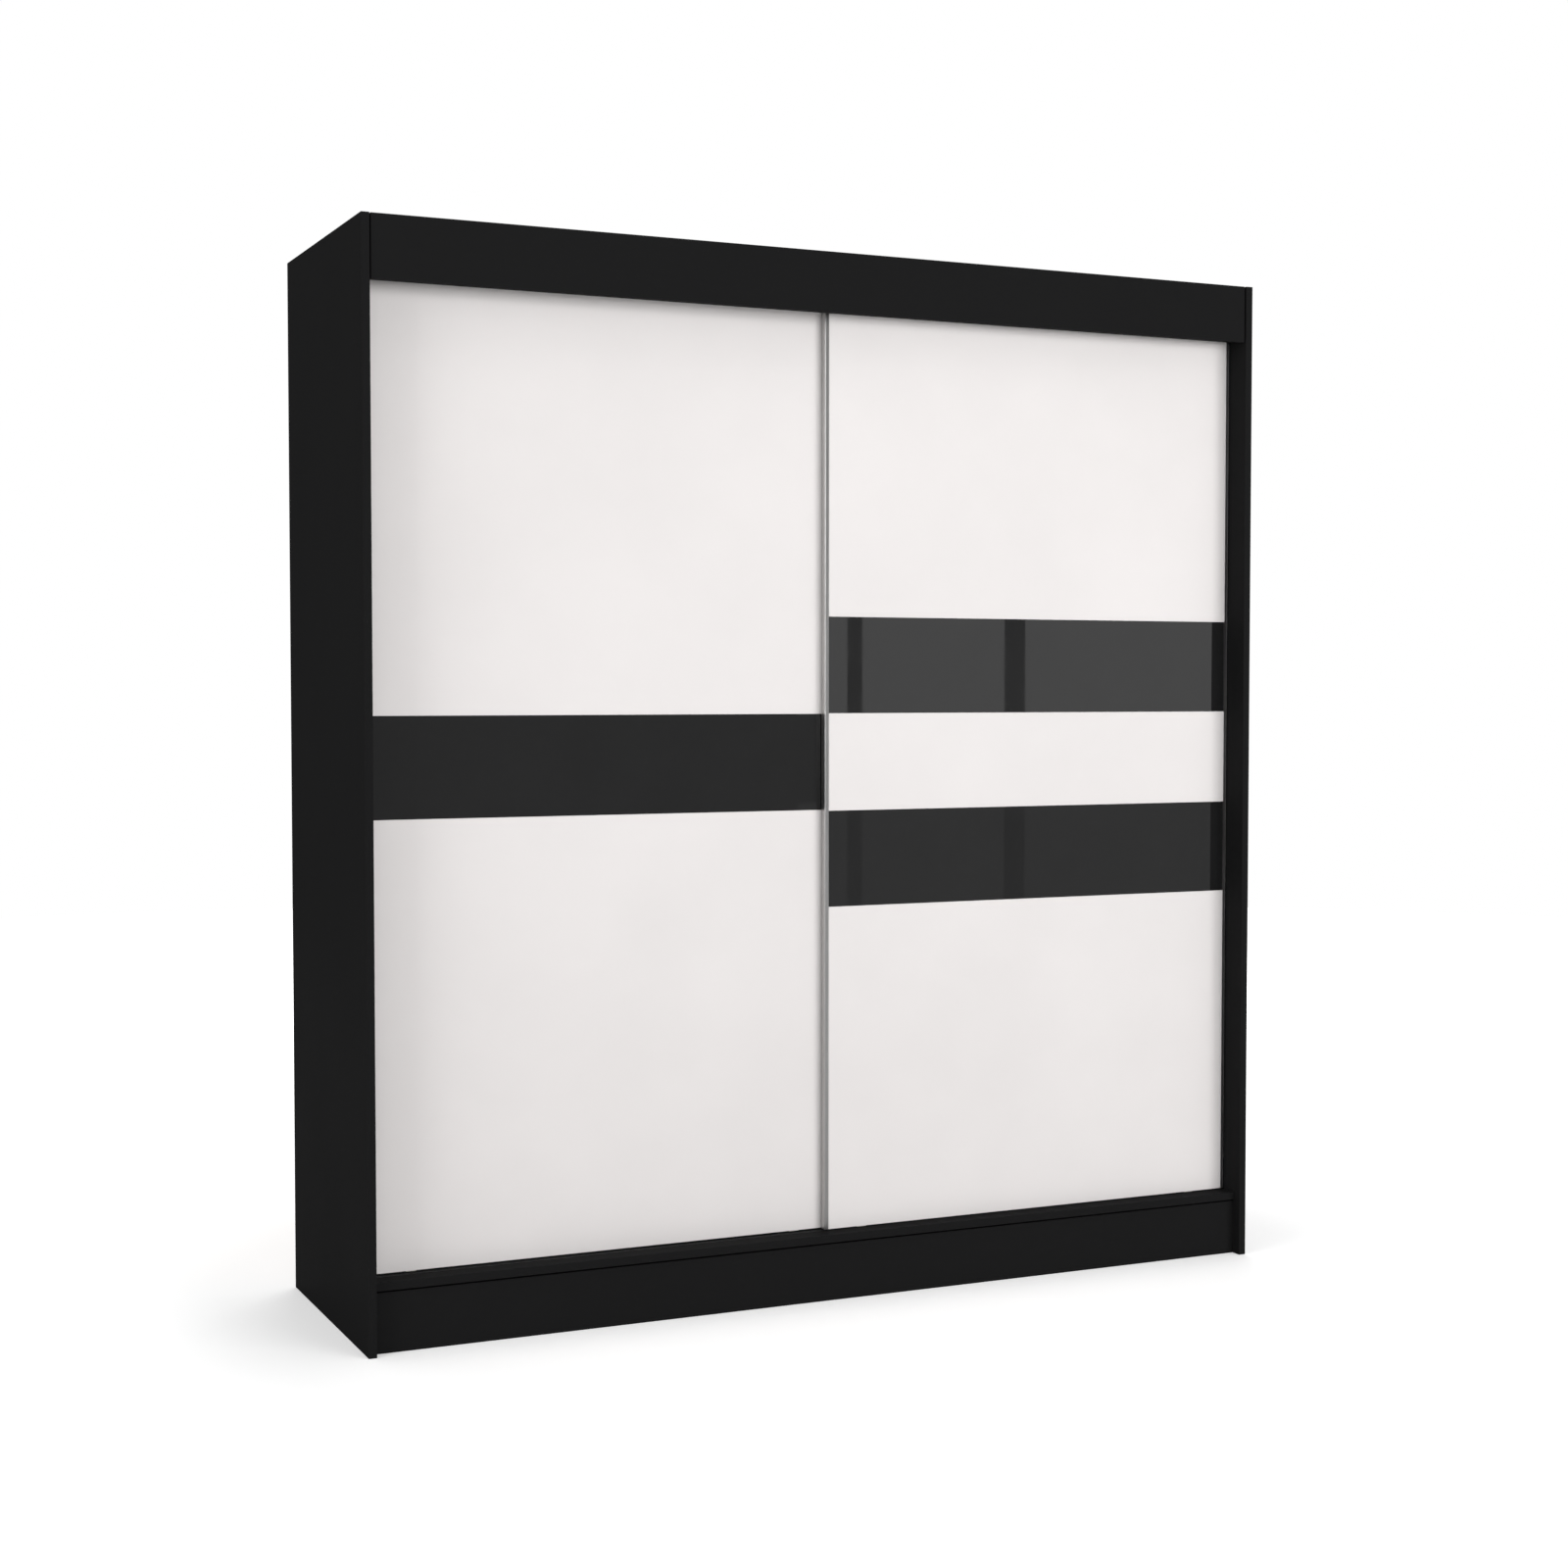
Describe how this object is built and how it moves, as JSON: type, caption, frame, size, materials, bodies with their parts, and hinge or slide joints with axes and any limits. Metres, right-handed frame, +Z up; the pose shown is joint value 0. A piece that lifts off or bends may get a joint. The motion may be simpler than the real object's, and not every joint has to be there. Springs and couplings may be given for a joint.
{
  "type": "sliding door wardrobe",
  "caption": "Black laminate wardrobe with white sliding doors that carry flush black glass bands, hanging rail and shelves inside.",
  "frame": {"origin": "on the floor, at the middle of the overall box", "axes": "+Z up, +X to the right as one faces the doors, the doors face -Y"},
  "size_m": [2, 0.6, 2.15],
  "materials": {
    "black_laminate": "black melamine laminate, fine satin grain",
    "white_laminate": "warm white melamine laminate, satin",
    "black_glass": "black back-painted glass, polished",
    "aluminium": "satin anodised",
    "steel": "zinc plated",
    "chrome": "bright chrome",
    "nylon": "natural nylon",
    "housing_plastic": "dark grey moulded plastic",
    "channel_plastic": "black rigid PVC, extruded",
    "rubber": "matt black rubber",
    "hardboard": "thin hardboard, black painted inside, brown behind",
    "beech": "fluted beech",
    "zinc": "zinc die casting",
    "pile": "grey nylon pile",
    "foam_tape": "white foam mounting tape"
  },
  "bodies": {
    "carcass": {"back_nails": "steel", "back_panel_left": "hardboard", "back_panel_right": "hardboard", "bottom_channel_left_door": "channel_plastic", "bottom_channel_right_door": "channel_plastic", "bottom_panel": "black_laminate", "cam_bolts": "steel", "cam_locks": "zinc", "center_divider": "black_laminate", "divider_screws": "steel", "dowels": "beech", "hanging_rail": "chrome", "hat_shelf_left": "black_laminate", "header_brackets": "steel", "header_fascia": "black_laminate", "header_screws": "steel", "plinth_brace": "black_laminate", "plinth_front": "black_laminate", "plinth_rear": "black_laminate", "rail_cups": "chrome", "rail_screws": "steel", "shelf_pins": "steel", "shelf_right_1": "black_laminate", "shelf_right_2": "black_laminate", "shelf_right_3": "black_laminate", "shelf_right_4": "black_laminate", "shelf_right_5": "black_laminate", "side_panel_left": "black_laminate", "side_panel_right": "black_laminate", "top_panel": "black_laminate", "top_track": "aluminium", "track_screws": "steel", "track_stops": "rubber"},
    "door_left": {"door_board_left": "white_laminate", "glass_strip_left": "black_glass", "glass_tape_left": "foam_tape", "left_door_profile_left": "aluminium", "left_door_profile_right": "aluminium", "roller_adjusters_left": "steel", "roller_axles_left": "steel", "roller_housings_left": "housing_plastic", "roller_screws_left": "steel", "top_guides_left": "nylon"},
    "wheel_left_1": {"roller_wheel_left_1": "nylon"},
    "wheel_left_2": {"roller_wheel_left_2": "nylon"},
    "door_right": {"door_board_right": "white_laminate", "glass_strip_right_1": "black_glass", "glass_strip_right_2": "black_glass", "glass_tape_right": "foam_tape", "pile_seal": "pile", "right_door_profile_left": "aluminium", "right_door_profile_right": "aluminium", "roller_adjusters_right": "steel", "roller_axles_right": "steel", "roller_housings_right": "housing_plastic", "roller_screws_right": "steel", "top_guides_right": "nylon"},
    "wheel_right_1": {"roller_wheel_right_1": "nylon"},
    "wheel_right_2": {"roller_wheel_right_2": "nylon"}
  },
  "joints": [
    {"name": "door_left_slide", "type": "slide", "parent": "carcass", "child": "door_left", "axis": [1, 0, 0], "range_m": [0, 0.967]},
    {"name": "door_right_slide", "type": "slide", "parent": "carcass", "child": "door_right", "axis": [1, 0, 0], "range_m": [-0.967, 0]},
    {"name": "wheel_left_1_spin", "type": "hinge", "parent": "door_left", "child": "wheel_left_1", "pos_m": [-0.893, -0.2109, 0.1438], "axis": [0, 1, 0], "range_deg": [0, 4620]},
    {"name": "wheel_left_2_spin", "type": "hinge", "parent": "door_left", "child": "wheel_left_2", "pos_m": [-0.074, -0.2109, 0.1438], "axis": [0, 1, 0], "range_deg": [0, 4620]},
    {"name": "wheel_right_1_spin", "type": "hinge", "parent": "door_right", "child": "wheel_right_1", "pos_m": [0.074, -0.2309, 0.1438], "axis": [0, 1, 0], "range_deg": [-4620, 0]},
    {"name": "wheel_right_2_spin", "type": "hinge", "parent": "door_right", "child": "wheel_right_2", "pos_m": [0.893, -0.2309, 0.1438], "axis": [0, 1, 0], "range_deg": [-4620, 0]}
  ],
  "couplings": [
    {"joint": "wheel_left_1_spin", "follows": "door_left_slide", "rad_per_m": 83.333},
    {"joint": "wheel_left_2_spin", "follows": "door_left_slide", "rad_per_m": 83.333},
    {"joint": "wheel_right_1_spin", "follows": "door_right_slide", "rad_per_m": 83.333},
    {"joint": "wheel_right_2_spin", "follows": "door_right_slide", "rad_per_m": 83.333}
  ]
}
